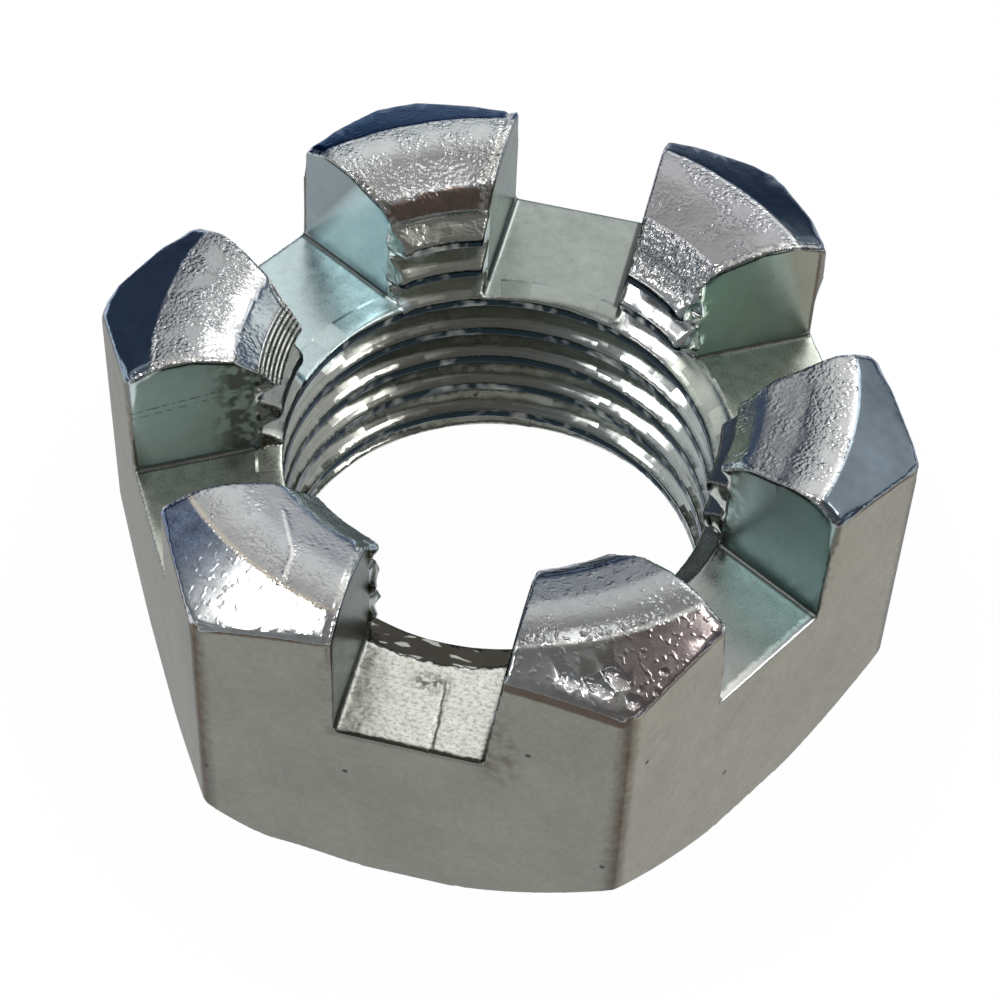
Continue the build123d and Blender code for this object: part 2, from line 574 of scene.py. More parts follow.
class Wiring:
    """Adds nodes to one node tree and links them."""

    def __init__(self, tree):
        self.tree = tree

    def put(self, socket, value):
        if isinstance(value, bpy.types.NodeSocket):
            self.tree.links.new(value, socket)
        elif isinstance(value, tuple) and socket.type == "RGBA" and len(value) == 3:
            socket.default_value = (*value, 1)
        else:
            socket.default_value = value

    def node(self, kind, inputs=None, **settings):
        made = self.tree.nodes.new("ShaderNode" + kind)
        for name, value in settings.items():
            setattr(made, name, value)
        for socket, value in (inputs or {}).items():
            self.put(made.inputs[socket], value)
        return made

    def use(self, group, **inputs):
        return self.node("Group", inputs, node_tree=group).outputs

    def gives(self, values):
        """Ends a group: its outputs by name, each a number."""
        for name in values:
            self.tree.interface.new_socket(name, in_out="OUTPUT", socket_type="NodeSocketFloat")
        result = self.tree.nodes.new("NodeGroupOutput").inputs
        for name, value in values.items():
            self.put(result[name], value)
        return self.tree

    def math(self, operation, *values, clamp=False):
        made = self.node("Math", dict(enumerate(values)), operation=operation, use_clamp=clamp)
        return made.outputs[0]

    def linear(self, value, factor, start, clamp=False):
        return self.math("MULTIPLY_ADD", value, factor, start, clamp=clamp)

    def plus(self, a, b):
        return self.math("ADD", a, b)

    def minus(self, a, b):
        return self.math("SUBTRACT", a, b)

    def other_than(self, mask):
        return self.minus(1.0, mask)

    def size(self, value):
        return self.math("ABSOLUTE", value)

    def times(self, *values):
        product = values[0]
        for value in values[1:]:
            product = self.math("MULTIPLY", product, value)
        return product

    def most(self, *values):
        largest = values[0]
        for value in values[1:]:
            largest = self.math("MAXIMUM", largest, value)
        return largest

    def least(self, *values):
        smallest = values[0]
        for value in values[1:]:
            smallest = self.math("MINIMUM", smallest, value)
        return smallest

    def vector(self, operation, *values):
        made = self.node("VectorMath", dict(enumerate(values)), operation=operation)
        return made.outputs["Value" if operation in ("DOT_PRODUCT", "LENGTH") else "Vector"]

    def scaled(self, vector, factor):
        return self.node("VectorMath", {0: vector, "Scale": factor}, operation="SCALE").outputs["Vector"]

    def mix(self, factor, a, b):
        return self.node("Mix", {0: factor, 6: a, 7: b}, data_type="RGBA").outputs[2]

    def blend(self, factor, a, b):
        return self.node("Mix", {0: factor, 2: a, 3: b}, data_type="FLOAT").outputs[0]

    def step(self, value, low, high, to_low=0.0, to_high=1.0):
        """From one value to another, in a straight line between the low and the high place."""
        if to_high < to_low:
            return self.step(value, high, low, to_high, to_low)
        slope = 1 / (high - low)
        share = self.linear(value, slope, -low * slope, clamp=True)
        if (to_low, to_high) == (0.0, 1.0):
            return share
        return self.linear(share, to_high - to_low, to_low)

    def within(self, value, low, high, soft):
        return self.times(
            self.step(value, low - soft, low + soft), self.step(value, high - soft, high + soft, 1.0, 0.0)
        )

    def noise(self, vector, scale, detail=1.0, roughness=0.5, dimensions="3D"):
        inputs = {"Vector": vector, "Scale": scale, "Detail": detail, "Roughness": roughness}
        return self.node("TexNoise", inputs, noise_dimensions=dimensions).outputs["Fac"]

    def by_sector(self, share, values):
        """One colour or set of three numbers for each sixth of a turn, in the order of the angles."""
        ramp = self.node("ValToRGB", {"Fac": self.times(share, SECTOR_STEPS * 6 / 255)})
        ramp.color_ramp.interpolation = "CONSTANT"
        stops = ramp.color_ramp.elements
        for k, angle in enumerate(sorted(values)):
            stop = stops[k] if k < 2 else stops.new(1.0)
            stop.position = max(0.0, (SECTOR_STEPS * k - 0.5) / 255)
            stop.color = (*values[angle], 1.0)
        return ramp.outputs["Color"]

    def numbers_by_sector(self, share, values):
        return self.node("SeparateColor", {0: self.by_sector(share, values)}).outputs

    def xyz(self, vector):
        return self.node("SeparateXYZ", {0: vector}).outputs

    def around(self, place):
        """A point's distance from the nut's axis, and its turn round it in radians."""
        x, y, z = self.xyz(place)
        return self.vector("LENGTH", self.vector("MULTIPLY", place, (1, 1, 0))), self.math("ARCTAN2", y, x)

    def painted(self, colour, marks):
        """Marks laid over a colour: each is a tint and the masks that say where and how strongly."""
        for tint, *masks in marks:
            colour = self.mix(self.times(*masks), colour, tint)
        return colour


def node_group(name, **defaults):
    """A new group with the socket Place and others that have default values."""
    group = bpy.data.node_groups.new(name, "ShaderNodeTree")
    group.interface.new_socket("Place", in_out="INPUT", socket_type="NodeSocketVector")
    for socket, value in defaults.items():
        made = group.interface.new_socket(socket, in_out="INPUT", socket_type="NodeSocketFloat")
        made.default_value = value
    return Wiring(group), group.nodes.new("NodeGroupInput").outputs


def unit(azimuth, elevation):
    a, e = math.radians(azimuth), math.radians(elevation)
    return (math.cos(a) * math.cos(e), math.sin(a) * math.cos(e), math.sin(e))


# ---------------------------------------------------------------- zinc plate
# Each pocket's colours: partly the plating's tint, mostly painted reflection and shade set pocket by pocket.
# By slot angle: floor, walls, flat
SLOT_TINTS_AND_REFLECTIONS = {
    270: ((0.99, 0.99, 0.93), (0.100, 0.10, 0.040), (0.238, 0.241, 0.208)),
    330: ((0.43, 0.46, 0.44), (0.38, 0.53, 0.52), (0.335, 0.315, 0.250)),
    30: ((0.92, 0.98, 0.86), (0.39, 0.50, 0.46), (0.240, 0.240, 0.205)),
    90: ((0.44, 0.48, 0.45), (0.27, 0.30, 0.21), (0.240, 0.240, 0.200)),
    150: ((0.72, 0.87, 0.88), (0.78, 0.98, 1.00), (0.240, 0.240, 0.200)),
    210: ((0.86, 0.90, 0.80), (0.53, 0.63, 0.62), (0.262, 0.245, 0.182)),
}
# Where a wall looks out of its slot: the reflection painted there, and how fast that part spreads with the
# height
OPEN_WALL_REFLECTIONS = {
    270: ((0.15, 0.15, 0.10), -0.79), 330: ((0.20, 0.22, 0.20), -0.53), 30: ((0.25, 0.255, 0.205), 0.257),
    90: ((0.165, 0.185, 0.120), 0.79), 150: ((0.24, 0.29, 0.30), 0.60), 210: ((0.20, 0.20, 0.18), -0.257),
}
# By tongue angle, mostly painted reflections such as the room's navy on the cones and painted highlights:
# crown, outer cone, lead-in
TONGUE_TINTS_AND_REFLECTIONS = {
    0: ((0.54, 0.55, 0.55), (0.25, 0.30, 0.34), (0.80, 0.90, 0.94)),
    60: ((0.50, 0.50, 0.52), (0.13, 0.165, 0.20), (0.98, 0.98, 1.00)),
    120: ((0.68, 0.71, 0.71), (0.008, 0.048, 0.125), (0.39, 0.30, 0.26)),
    180: ((0.48, 0.49, 0.50), (0.30, 0.38, 0.46), (0.60, 0.66, 0.66)),
    240: ((0.60, 0.61, 0.62), (0.82, 0.83, 0.81), (0.80, 0.92, 1.00)),
    300: ((0.48, 0.49, 0.50), (0.68, 0.69, 0.69), (0.10, 0.13, 0.20)),
}
# How strongly each tongue's crown is grained, its cone, and how many flakes stand out of it
TONGUE_GRAIN = {
    0: (0.75, 0.03, 0.2), 60: (0.75, 0.0, 0.1), 120: (0.8, 0.0, 0.2), 180: (1.0, 0.03, 0.2),
    240: (0.40, 0.0, 0.25), 300: (0.20, 0.02, 0.6),
}
SLOT_FLOORS = {270: 7.57, 330: 7.93, 30: 8.07, 90: 7.85, 150: 8.05, 210: 8.02}


def places_group():
    """Tells the nut's faces apart by where they lie, in millimetres."""
    w, given = node_group("nut_places")
    place = given["Place"]
    z = w.xyz(place)[2]
    up = w.xyz(w.node("NewGeometry").outputs["Normal"])[2]
    radius, turn = w.around(place)
    # How far round a point lies, from 0 to 1: from slot to slot, and from tongue to tongue
    turn = w.times(turn, 1 / math.tau)
    slot_share = w.math("FRACT", turn)
    tongue_share = w.math("FRACT", w.plus(turn, 1 / 12))
    slot_number = w.math("FLOOR", w.times(slot_share, 6))
    tongue_number = w.math("FLOOR", w.times(tongue_share, 6))
    slots = {angle: w.math("COMPARE", slot_number, (angle - 30) / 60, 0.1) for angle in (210, 270, 330)}
    tongues = {angle: w.math("COMPARE", tongue_number, angle / 60, 0.1) for angle in TONGUE_TINTS_AND_REFLECTIONS}

    def along(angle):
        return w.size(w.vector("DOT_PRODUCT", place, unit(angle, 0)))

    apothem = w.most(along(30), along(90), along(150))
    across = w.least(along(0), along(60), along(120))
    steep = w.step(w.size(up), 0.3, 0.5, 1.0, 0.0)
    on_flat = w.times(steep, w.most(w.step(apothem, 11.93, 11.985), w.step(radius, 12.9, 13.1)))
    level = w.times(w.step(up, 0.6, 0.8), w.within(z, 6.8, 8.75, 0.1), w.step(across, 2.75, 2.6))
    walls = w.times(
        steep, w.step(across, 3.4, 3.2), w.step(z, 7.5, 7.8), w.step(radius, 8.1, 8.2), w.other_than(on_flat)
    )
    # On a flat: how far a point lies from the hexagon's corner
    off_middle = w.minus(w.times(radius, radius), w.times(apothem, apothem))
    sideways = w.math("SQRT", w.most(0.0, off_middle))
    # The crown's edge as straight pieces: outer cone, dome, dish and lead-in, as height over radius
    pieces = ((-0.4557, 17.737), (0.3153, 9.397), (1.0, 3.594))
    edge = w.least(12.58, *(w.linear(radius, slope, height) for slope, height in pieces))
    lifts = {angle: (inner, outer, 0.0) for angle, (inner, outer) in LIFTS.items()}
    inner, outer, _ = w.numbers_by_sector(tongue_share, lifts)
    share = w.node("MapRange", {"Value": radius, "From Min": 9.8, "From Max": 11.6}).outputs["Result"]
    below_edge = w.minus(w.plus(edge, w.blend(share, inner, outer)), z)
    thread = w.times(w.step(radius, 8.2, 8.1), w.step(below_edge, 0.14, 0.24), w.other_than(level))
    ragged = w.times(w.minus(w.noise(place, 1.6, 0.0), 0.5), tongues[120], 0.8)
    # On tongues a, b and c the thread runs into the lead-in
    runs_in = w.times(w.most(*(tongues[angle] for angle in (60, 120, 180))), w.step(radius, 7.98, 7.92))
    thread = w.most(thread, w.times(runs_in, w.step(z, 7.9, 8.2)))
    crown = w.times(w.step(z, 10.75, 10.95), w.step(up, 0.3, 0.5), w.other_than(thread))
    # The slots' floor heights above 7 and their open walls' rates above -1, both halved
    levels = {
        angle: ((SLOT_FLOORS[angle] - 7) / 2, (OPEN_WALL_REFLECTIONS[angle][1] + 1) / 2, 0.0) for angle in SLOT_FLOORS
    }
    floor, rate, _ = w.numbers_by_sector(slot_share, levels)
    above_floor = w.minus(z, w.linear(floor, 2.0, 7.0))
    spread = w.linear(rate, 2.0, -1.0)
    return w.gives({
        "Flats": on_flat,
        "Crown": crown,
        "Outer Cone": w.times(crown, w.step(radius, 11.42, 11.48)),
        "Ridge": w.times(crown, w.within(radius, 11.30, 11.42, 0.05)),
        "Lead In": w.times(crown, w.step(w.plus(radius, ragged), 8.66, 8.56)),
        "Walls": walls,
        "Slot Floors": level,
        "Thread": thread,
        "Crest": w.times(thread, steep, w.step(radius, 7.50, 7.40)),
        "Corner": w.minus(CORNER_DISTANCE / 2, sideways),
        "Below Edge": below_edge,
        "Above Floor": above_floor,
        "Open Wall": w.step(w.linear(above_floor, spread, apothem), 11.2, 12.0),
        "Along": apothem,
        "Across": across,
        "Radius": radius,
        "Slot Share": slot_share,
        "Tongue Share": tongue_share,
        **{f"Slot {angle}": mask for angle, mask in slots.items()},
        **{f"Tongue {angle}": mask for angle, mask in tongues.items()},
    })


def mottle_group():
    """Soft cloudy variation of a plated surface, as a number from 0 to 1."""
    w, given = node_group("plating_mottle", Size=1.0, Contrast=1.0)
    place = w.scaled(given["Place"], w.math("DIVIDE", 1.0, given["Size"]))
    cloud = w.noise(place, 1.0, 1.0, 0.55)
    fine = w.noise(place, 6.0, 0.0)
    mixed = w.plus(w.times(cloud, 0.65), w.times(fine, 0.35))
    return w.gives({"Value": w.linear(w.minus(mixed, 0.5), given["Contrast"], 0.5, clamp=True)})


def thread_lines_group():
    """Fine lines that the tap leaves along the thread."""
    w, given = node_group("thread_lines")
    radius, turn = w.around(given["Place"])
    level = w.linear(turn, -PITCH / math.tau, w.xyz(given["Place"])[2])
    stretched = {0: w.times(turn, 2.5), 1: w.times(radius, 14.0), 2: w.times(level, 9.0)}
    return w.gives({"Lines": w.noise(w.node("CombineXYZ", stretched).outputs[0], 1.0, 1.0, 0.6)})


# Width of a pebble and of a flake in the crown's grain
PEBBLE = 0.13
FLAKE = 0.30


def relief_group():
    """Height of the fine relief: pebbles near the ridge and in cloudy patches, flakes, and the tap's
    facets in the thread."""
    w, given = node_group("fine_relief")
    place = given["Place"]
    x, y, z = w.xyz(place)
    up = w.xyz(w.node("NewGeometry").outputs["Normal"])[2]
    radius, turn = w.around(place)
    share = w.math("FRACT", w.linear(turn, 1 / math.tau, 1 / 12))
    on_top, on_cone, flaked = w.numbers_by_sector(share, TONGUE_GRAIN)
    crown = w.times(w.step(z, 10.75, 10.95), w.step(up, 0.3, 0.5))
    # Tongue f's cone is pebbled towards its left end
    on_cone = w.plus(on_cone, w.times(w.step(x, -8.0, -9.4), w.step(y, -5.0, -6.0), 0.6))
    on_top = w.times(on_top, w.step(radius, 8.7, 10.4, 0.3, 1.0))
    amount = w.blend(w.step(radius, 11.42, 11.48), on_top, on_cone)
    patches = w.step(w.noise(place, 1.0, 0.0, dimensions="2D"), 0.38, 0.56, 0.25, 1.0)
    # Tongue c's lead-in is rough
    rough_c = w.times(w.step(radius, 8.66, 8.56), w.step(x, 1.0, 1.4), w.step(y, 5.0, 6.0), 1.6)
    pebbled = w.times(crown, w.linear(amount, patches, rough_c))
    near = w.scaled(place, 1 / PEBBLE)
    cells = w.node("TexVoronoi", {"Vector": near, "Scale": 1.0}, voronoi_dimensions="2D")
    waves = w.noise(near, 0.8, dimensions="2D")
    pebbles = w.linear(cells.outputs["Distance"], -0.7, w.times(waves, 1.6))
    height = w.times(pebbles, pebbled, 0.55)
    flakes = w.step(w.noise(place, 1 / FLAKE, 1.0, 0.7, "2D"), 0.58, 0.95)
    height = w.linear(flakes, w.times(crown, flaked, 0.45), height)
    # Short facets between the tap's chatter marks
    level = w.math("FLOOR", w.linear(turn, -1 / math.tau, w.times(z, 1 / PITCH)))
    steps = w.linear(level, 0.37, w.times(turn, 7.5))
    facet = w.math("FLOOR", steps)
    tilt = w.node("TexWhiteNoise", {"Vector": w.node("CombineXYZ", {0: facet, 1: level}).outputs[0]})
    facets = w.times(w.minus(tilt.outputs["Value"], 0.5), w.minus(steps, facet))
    thread = w.times(w.step(radius, 8.2, 8.1), w.other_than(crown))
    height = w.linear(facets, w.times(thread, 2.4), height)
    # Fine flutes on tongue a, beside the thread
    flutes = w.math("SINE", w.linear(radius, 46.0, w.times(z, 2.0)))
    fluted = w.times(crown, w.step(radius, 8.06, 8.02), w.step(x, -6.2, -6.6))
    return w.gives({"Height": w.linear(flutes, w.times(fluted, 0.2), height)})


def milled_rows_group():
    """Rows of short steps that a worn cutter leaves along the front slot's floor, from 0 to 1."""
    w, given = node_group("milled_rows")
    x, y, z = w.xyz(given["Place"])
    row_spacing = 0.21
    wave = w.math("SINE", w.times(w.linear(x, 0.05, y), math.tau / row_spacing))
    dots = w.noise(w.vector("MULTIPLY", given["Place"], (6.5, 9.0, 1.0)), 1.0, 1.0, 0.7, "2D")
    dotted = w.linear(w.minus(dots, 0.5), 3.2, 0.80)
    return w.gives({"Rows": w.linear(wave, 0.16, dotted, clamp=True)})


# Dark specks on the flats: x, y and z in millimetres
SPECKS = (
    (-9.41, -7.71, 4.40), (-6.78, -12.0, 3.95), (6.47, -12.0, 3.21), (3.81, -12.0, 8.56),
    (7.41, -11.17, 8.40), (-2.08, -12.0, 5.46), (9.6, -7.4, 3.2),
)


def spots_group():
    """The dark specks on the front flats and their likes on the back ones, from 0 to 1."""
    w, given = node_group("dirt_specks", Size=0.12)
    x, y, z = w.xyz(given["Place"])
    folded = w.node("CombineXYZ", {0: x, 1: w.times(w.size(y), -1.0), 2: z}).outputs[0]
    nearest = w.least(1.0, *(w.vector("LENGTH", w.vector("SUBTRACT", folded, speck)) for speck in SPECKS))
    return w.gives({"Speck": w.step(w.math("DIVIDE", nearest, given["Size"]), 0.5, 1.0, 1.0, 0.0)})


# Colours that belong to one kind of mark wherever it is: a brown for stains and for painted reflection on
# edges, a dark for painted shade in creases and under edges, and pale ones for painted highlights on edges
# and faces
BROWN_STAIN_AND_REFLECTION = (0.085, 0.062, 0.045)
PAINTED_SHADE = (0.05, 0.055, 0.05)
PAINTED_EDGE_HIGHLIGHT = (0.90, 0.90, 0.86)
PAINTED_HIGHLIGHT = (0.97, 0.98, 0.98)
# Roughness of each kind of face, and of what is left
ROUGHNESS = {
    "Thread": 0.14, "Walls": 0.30, "Slot Floors": 0.28, "Crown": 0.17, "Outer Cone": 0.14, "Flats": 0.42,
}
OTHER_ROUGHNESS = 0.34
BUMP_DEPTH = 0.06 * MM


def face_colours(w, place, where, wide, close, speckle):
    """The plating's colour on each kind of face, with painted reflection and shade by pocket and tongue,
    before any mark.
    """
    x, y, z = w.xyz(place)
    radius = where["Radius"]

    def sector_colour(tints, kind, column):
        return w.by_sector(where[f"{kind} Share"], {angle: row[column] for angle, row in tints.items()})

    def varied(colour, low=0.86, high=1.12, by=close):
        return w.vector("MULTIPLY", colour, w.mix(by, (low,) * 3, (high,) * 3))

    rows = w.use(milled_rows_group(), Place=place)[0]
    floors = varied(sector_colour(SLOT_TINTS_AND_REFLECTIONS, "Slot", 0), 0.80, 1.15)
    floors = w.mix(w.times(where["Slot 270"], w.other_than(rows)), floors, (0.58, 0.58, 0.50))
    walls = w.mix(where["Open Wall"], sector_colour(SLOT_TINTS_AND_REFLECTIONS, "Slot", 1), sector_colour(OPEN_WALL_REFLECTIONS, "Slot", 0))
    flats = varied(varied(sector_colour(SLOT_TINTS_AND_REFLECTIONS, "Slot", 2), 0.87, 1.12, wide), 0.86, 1.14, speckle)
    # Painted reflections: tongue f's cone is dark blue towards its left end, and tongue e's brown towards
    # its right
    azimuth = w.times(w.math("ARCTAN2", y, x), 360 / math.tau)
    left_f = w.step(azimuth, -129.0, -117.0, 1.0, 0.0)
    right_e = w.step(w.plus(azimuth, w.times(close, 8.0)), -59.0, -53.0)
    cones = w.painted(varied(sector_colour(TONGUE_TINTS_AND_REFLECTIONS, "Tongue", 1), 0.72, 1.35, wide), (
        (varied((0.155, 0.195, 0.28), 0.6, 2.0), where["Tongue 240"], left_f),
        (varied((0.40, 0.33, 0.33), 0.7, 1.2), where["Tongue 300"], right_e, 0.9),
    ))
    # Tongue b's dish is darker; tongue a's has a painted highlight beside its lead-in, tongue d's crown is
    # painted lighter outwards, and tongue e's has a band of painted shade below its ridge
    crown = w.painted(varied(sector_colour(TONGUE_TINTS_AND_REFLECTIONS, "Tongue", 0), 0.88, 1.1), (
        ((0.45, 0.46, 0.46), where["Tongue 120"], w.step(radius, 10.4, 9.8)),
        (PAINTED_HIGHLIGHT, where["Tongue 180"], w.step(radius, 9.4, 9.1)),
        ((0.70, 0.71, 0.71), where["Tongue 0"], w.step(radius, 10.2, 10.9)),
        ((0.33, 0.34, 0.35), where["Tongue 300"], w.within(radius, 10.6, 11.36, 0.25)),
    ))
    # Painted highlights on tongue a's fluted lead-in, and painted reflections from the tongue table on the
    # other lead-ins
    fluted = w.times(where["Tongue 180"], where["Lead In"], w.step(radius, 8.06, 8.02))
    lead_ins = w.mix(fluted, varied(sector_colour(TONGUE_TINTS_AND_REFLECTIONS, "Tongue", 2), 0.75, 1.2), PAINTED_HIGHLIGHT)
    # Painted reflections on the thread: bright below tongue c, brighter in its top turn below tongue b, and
    # painted dark shade on its crests
    lines = w.use(thread_lines_group(), Place=place)[0]
    outwards = w.vector("NORMALIZE", w.vector("MULTIPLY", place, (1, 1, 0)))
    towards_c = w.vector("DOT_PRODUCT", outwards, unit(38, 0))
    towards_b = w.vector("DOT_PRODUCT", outwards, unit(100, 0))
    top_turn = w.times(w.step(z, 7.0, 7.4), w.step(towards_b, 0.4, 0.8))
    thread = w.mix(w.step(towards_c, 0.55, 0.97), (0.46, 0.47, 0.43), (0.78, 0.84, 0.81))
    thread = varied(varied(thread, 0.62, 1.12, lines), 1.0, 1.8, top_turn)
    crest_shade = w.times(where["Crest"], w.step(wide, 0.20, 0.50, 0.55, 1.0))
    return {
        "Thread": w.mix(crest_shade, thread, (0.010, 0.018, 0.022)),
        "Walls": varied(walls, 0.90, 1.10, wide),
        "Slot Floors": floors,
        "Crown": crown,
        "Outer Cone": cones,
        "Lead In": lead_ins,
        # Painted highlight along the crown's ridge, warmer on tongue f
        "Ridge": w.mix(where["Tongue 240"], (0.98, 0.98, 0.96), (0.82, 0.75, 0.64)),
        "Flats": flats,
    }


def marks(w, place, where, speckle):
    """What handling and milling left on the nut, with painted shade, highlights and reflections: tints with
    the masks that place them.
    """
    x, y, z = w.xyz(place)
    flats, crown, walls, floors = (where[face] for face in ("Flats", "Crown", "Walls", "Slot Floors"))
    front, left, right = (where[f"Slot {angle}"] for angle in (270, 210, 330))
    along, across, radius = where["Along"], where["Across"], where["Radius"]
    above_floor, below_edge = where["Above Floor"], where["Below Edge"]
    ragged = w.times(w.minus(w.noise(place, 3.0), 0.5), 0.25)
    dirt = w.noise(place, 2.2, 1.0, 0.65)

    def frayed(value, share=1.0):
        return w.plus(value, w.times(ragged, share))

    off_scratch = w.size(w.minus(x, w.step(y, -7.59, -9.31, -5.25, -4.42)))
    hair_height = w.linear(along, 0.10, above_floor)
    hairs = w.most(w.within(hair_height, 3.92, 3.98, 0.03), w.within(hair_height, 3.66, 3.71, 0.03))
    sliver_glints = w.step(w.noise(w.vector("MULTIPLY", place, (1.3, 5.0, 5.0)), 1.0), 0.62, 0.68)
    seam_x = w.linear(w.plus(y, 9.28), -0.09, frayed(0.52, 0.6))
    seam = w.times(w.step(w.size(w.minus(x, seam_x)), 0.02, 0.07, 0.8, 0.0), w.step(y, -9.1, -9.3))
    patch = w.times(
        w.within(frayed(x), -0.5, 0.6, 0.25), w.within(y, -9.75, -9.1, 0.2), 0.8, w.step(speckle, 0.40, 0.60)
    )
    front_edge = w.step(frayed(along, 0.7), 11.80, 11.88)
    corner = w.step(frayed(where["Corner"]), 0.02, 0.50, 0.85, 0.0)
    lower = w.minus(below_edge, w.times(where["Tongue 300"], front, 0.30))
    rim = w.step(frayed(lower, 0.4), 0.12, 0.24, 0.9, 0.0)
    foot = w.times(
        w.step(w.size(above_floor), 0.07, 0.15, 1.0, 0.0), w.within(across, 2.22, 2.68, 0.04),
        w.step(radius, 8.0, 8.1), w.step(along, 11.96, 11.9),
    )
    return (
        # A bright scratch on tongue f's face
        ((0.98, 0.98, 0.96), crown, w.step(off_scratch, 0.03, 0.09, 1.0, 0.0),
         w.within(y, -10.4, -7.5, 0.1), w.step(x, -3.5, -4.0)),
        # Tongue d's wall in its right-hand slot is darker towards the top
        ((0.12, 0.12, 0.09), walls, right, w.step(above_floor, 1.4, 3.2), 0.35),
        # Two dotted hairlines on tongue a's wall
        ((0.08, 0.08, 0.07), walls, left, w.step(speckle, 0.42, 0.55), hairs, 0.8),
        # The right-hand slot's floor has a painted highlight along its front edge
        ((0.97, 0.98, 0.95), floors, right, w.step(frayed(along), 11.62, 11.74)),
        # The front slot's floor is torn away towards the thread, painted dark there as shade in the torn
        # groove, with painted highlights on its slivers
        (w.mix(sliver_glints, (0.075, 0.07, 0.06), (0.60, 0.60, 0.56)), front, w.step(frayed(radius), 8.62, 8.54),
         w.step(above_floor, 0.6, 0.4), w.step(above_floor, -1.2, -1.0), w.step(across, 2.75, 2.65)),
        # A seam across that floor, the dark patch at its inner end and its broken front edge, with painted
        # shade in the seam and along that edge, and a brown band of painted shade on the flat below it
        ((0.06, 0.06, 0.05), floors, front, w.most(seam, patch, front_edge)),
        (BROWN_STAIN_AND_REFLECTION, flats, front, w.step(across, 2.75, 2.6),
         w.within(frayed(above_floor, 0.8), -0.22, 0.2, 0.05), 0.35),
        # Brown stains on the front flat beside the slot
        (BROWN_STAIN_AND_REFLECTION, flats, front, w.within(x, 2.4, 3.5, 0.25), w.within(z, 6.6, 10.2, 0.6),
         w.step(dirt, 0.42, 0.70), 0.5),
        # Brown painted reflection along the flats' corners and top edges, specks on the flats, a line of
        # painted shade under the walls' top edges, and brown painted reflection on the walls' outer edges
        (BROWN_STAIN_AND_REFLECTION, flats, w.most(corner, rim)),
        ((0.07, 0.06, 0.05), flats, w.use(spots_group(), Place=place)[0]),
        (PAINTED_SHADE, walls, w.within(frayed(below_edge, 0.2), 0.10, 0.19, 0.03)),
        (BROWN_STAIN_AND_REFLECTION, w.within(frayed(along, 0.3), 11.84, 11.97, 0.03), w.step(across, 2.95, 2.8),
         w.step(above_floor, 0.1, 0.3), w.step(below_edge, 0.1, 0.3), 0.8),
        # Pits and brown dirt where the slot walls meet the thread
        ((0.10, 0.085, 0.06), walls, w.step(w.minus(radius, w.times(left, 0.7)), 9.0, 8.2),
         w.most(left, right), w.step(dirt, 0.42, 0.54), 0.75),
        # Painted highlights in specks along the upper edges of the slots' walls, and painted shade in the
        # crease at their foot
        (PAINTED_EDGE_HIGHLIGHT, crown, w.within(across, 2.45, 2.72, 0.04), w.step(speckle, 0.38, 0.52), 0.8),
        (PAINTED_SHADE, foot, w.blend(front, 0.8, 0.3)),
    )


def zinc_plate():
    """Bright zinc: satin on the flats, pebbled on the crown, milled in the slots."""
    material = bpy.data.materials.new("zinc_plate")
    material.use_nodes = True
    w = Wiring(material.node_tree)
    shader = material.node_tree.nodes["Principled BSDF"]
    place = w.scaled(w.node("TexCoord").outputs["Object"], 1 / MM)
    where = w.use(places_group(), Place=place)
    mottle = mottle_group()
    wide = w.use(mottle, Place=place, Size=2.2, Contrast=1.5)[0]
    close = w.use(mottle, Place=place, Size=0.5, Contrast=1.8)[0]
    speckle = w.noise(place, 6.0)
    colour = w.mix(close, (0.42, 0.43, 0.40), (0.52, 0.54, 0.51))
    for face, shade in face_colours(w, place, where, wide, close, speckle).items():
        colour = w.mix(where[face], colour, shade)
    w.put(shader.inputs["Base Color"], w.painted(colour, marks(w, place, where, speckle)))

    rough = OTHER_ROUGHNESS
    for face, value in ROUGHNESS.items():
        rough = w.blend(where[face], rough, value)
    w.put(shader.inputs["Roughness"], w.plus(rough, w.times(w.minus(close, 0.5), 0.08)))
    shader.inputs["Metallic"].default_value = 1.0
    shader.inputs["Specular Tint"].default_value = (0.70, 0.74, 0.82, 1.0)

    height = w.use(relief_group(), Place=place)[0]
    bump = w.node("Bump", {"Strength": 1.0, "Distance": BUMP_DEPTH, "Height": height})
    w.put(shader.inputs["Normal"], bump.outputs["Normal"])
    return material


# ---------------------------------------------------------------- floor and light
# How much of the floor near the nut is plain white, the rest taking the nut's shadow
FLOOR_GLOW = 0.985
SHADOW_RADIUS = 16 * MM
NO_SHADOW_RADIUS = 19 * MM


def floor_material():
    """White near the nut, and paler blue grey further out, where the light falls off."""
    material = bpy.data.materials.new("studio_floor")
    material.use_nodes = True
    w = Wiring(material.node_tree)
    shader = material.node_tree.nodes["Principled BSDF"]
    away = w.vector("LENGTH", w.node("TexCoord").outputs["Object"])
    far = w.step(away, 0.05, 0.30)
    w.put(shader.inputs["Base Color"], w.mix(far, (0.92, 0.92, 0.92), (0.30, 0.35, 0.41)))
    shader.inputs["Roughness"].default_value = 0.9
    shader.inputs["Specular IOR Level"].default_value = 0.0
    paths = w.node("LightPath").outputs
    seen = w.most(paths["Is Camera Ray"], paths["Is Glossy Ray"], paths["Is Transmission Ray"])
    glow = w.node("Emission", {"Color": w.mix(far, (1, 1, 1), (0.22, 0.27, 0.34)), "Strength": 1.0})
    shown = w.times(seen, w.step(away, SHADOW_RADIUS, NO_SHADOW_RADIUS, FLOOR_GLOW, 1.0))
    both = w.node("MixShader", {0: shown, 1: shader.outputs[0], 2: glow.outputs[0]})
    w.put(material.node_tree.nodes["Material Output"].inputs["Surface"], both.outputs[0])
    material.cycles.emission_sampling = "NONE"
    return material


